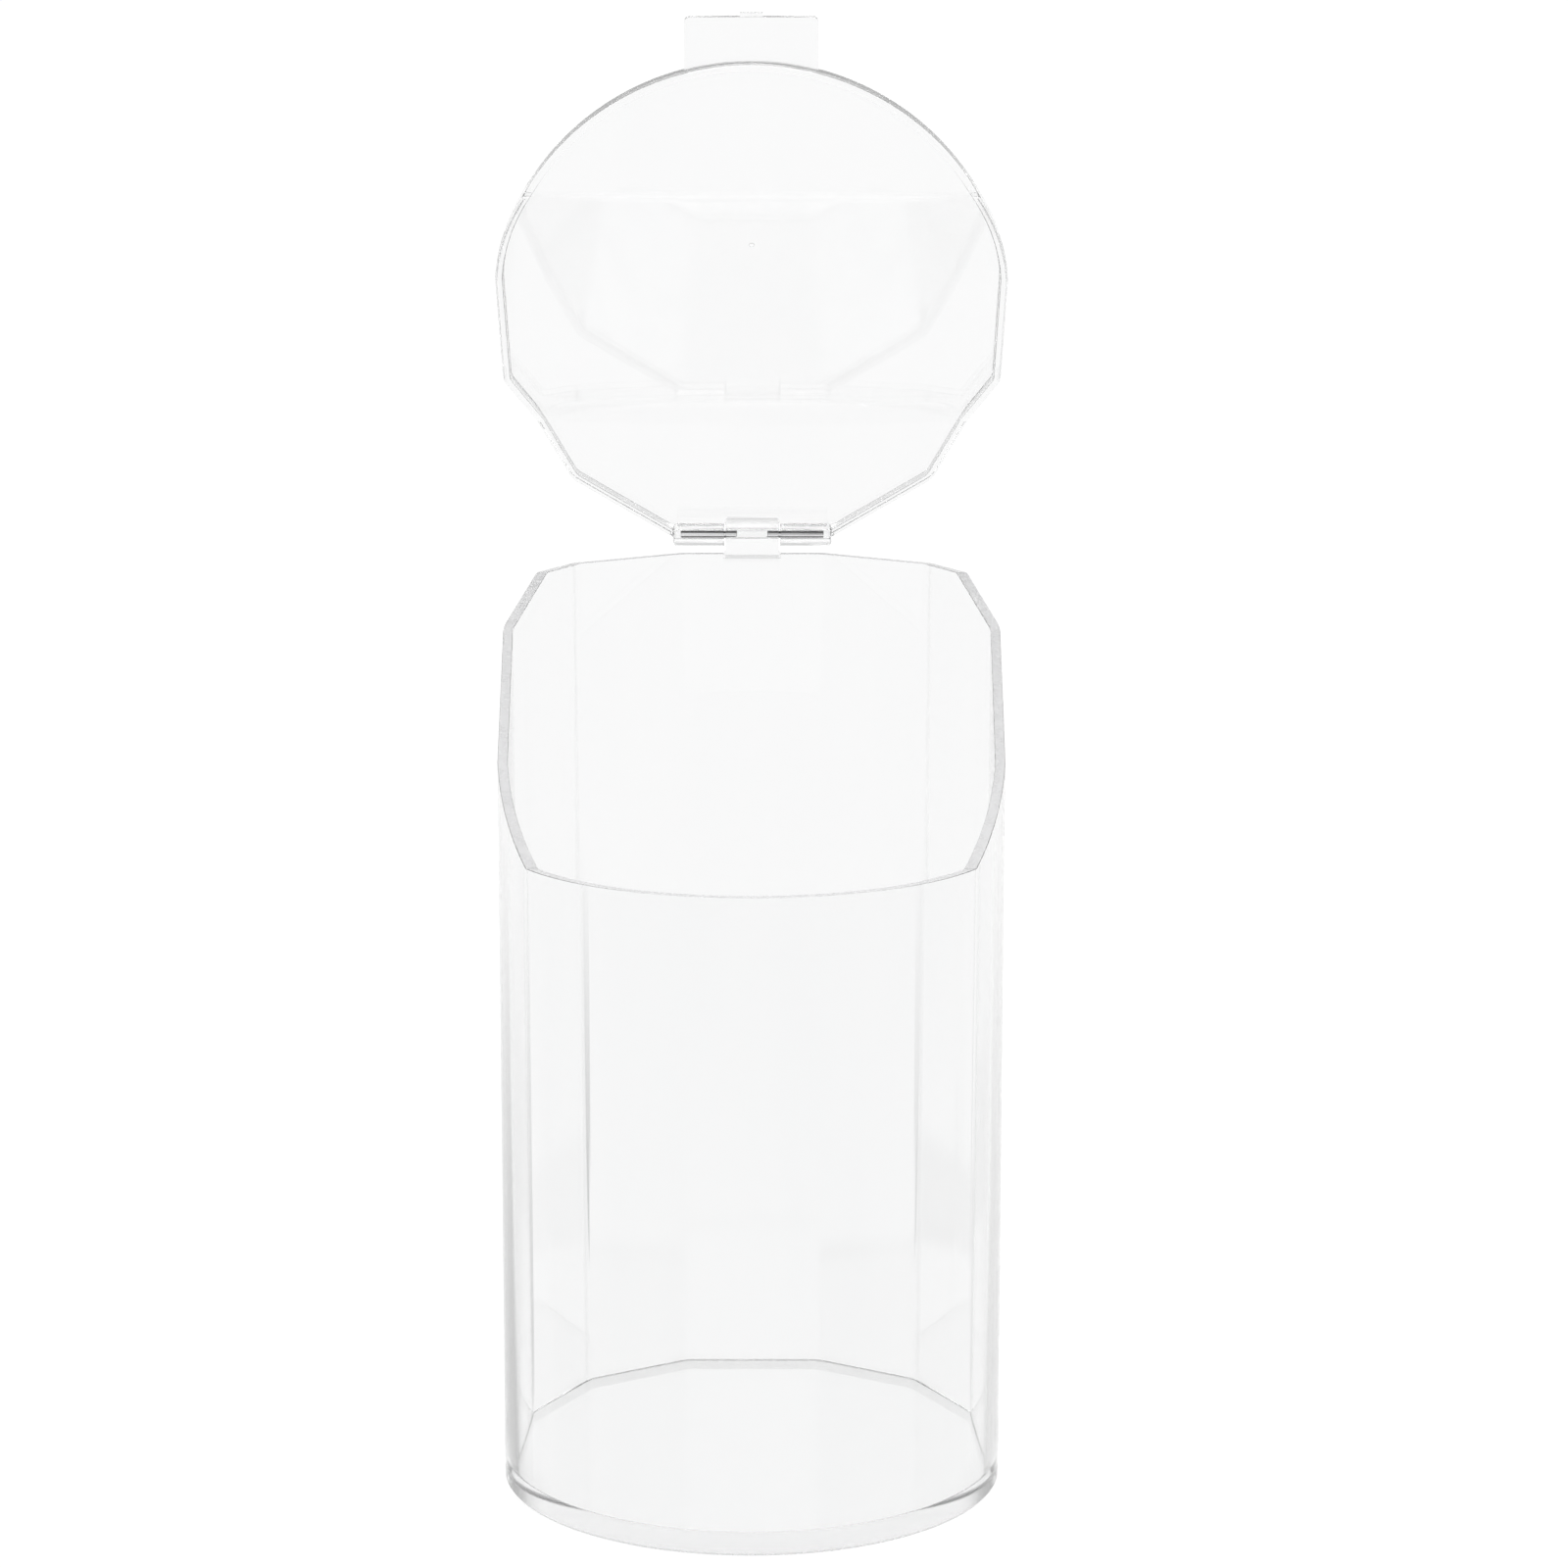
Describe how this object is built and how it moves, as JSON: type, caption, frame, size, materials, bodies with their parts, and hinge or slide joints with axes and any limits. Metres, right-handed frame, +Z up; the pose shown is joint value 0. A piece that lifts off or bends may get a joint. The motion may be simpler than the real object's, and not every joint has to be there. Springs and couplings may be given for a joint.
{
  "type": "makeup brush holder",
  "caption": "Tall clear cup with a faceted back, a curved front and a rim that slopes down to the front, closed by a matching flip lid with a finger tab on a pinned back hinge.",
  "frame": {"origin": "on the table, under the middle of the faceted plan, in the underside of the cup", "axes": "+Z up, front of the holder (curved side, low rim, lid tab) towards -Y, hinge at +Y, X along the hinge pins"},
  "size_m": [0.106, 0.1174, 0.3085],
  "materials": {
    "container": "clear, polished",
    "lid": "clear, polished",
    "hinge_pin_left": "drawn wire",
    "hinge_pin_right": "drawn wire"
  },
  "bodies": {
    "container": {"container": "container"},
    "lid": {"lid": "lid", "hinge_pin_left": "hinge_pin_left", "hinge_pin_right": "hinge_pin_right"}
  },
  "joints": [
    {"name": "lid_hinge", "type": "hinge", "parent": "container", "child": "lid", "pos_m": [0, 0.0525, 0.1925], "axis": [-1, 0, 0], "range_deg": [-81.5, 28.5]}
  ]
}
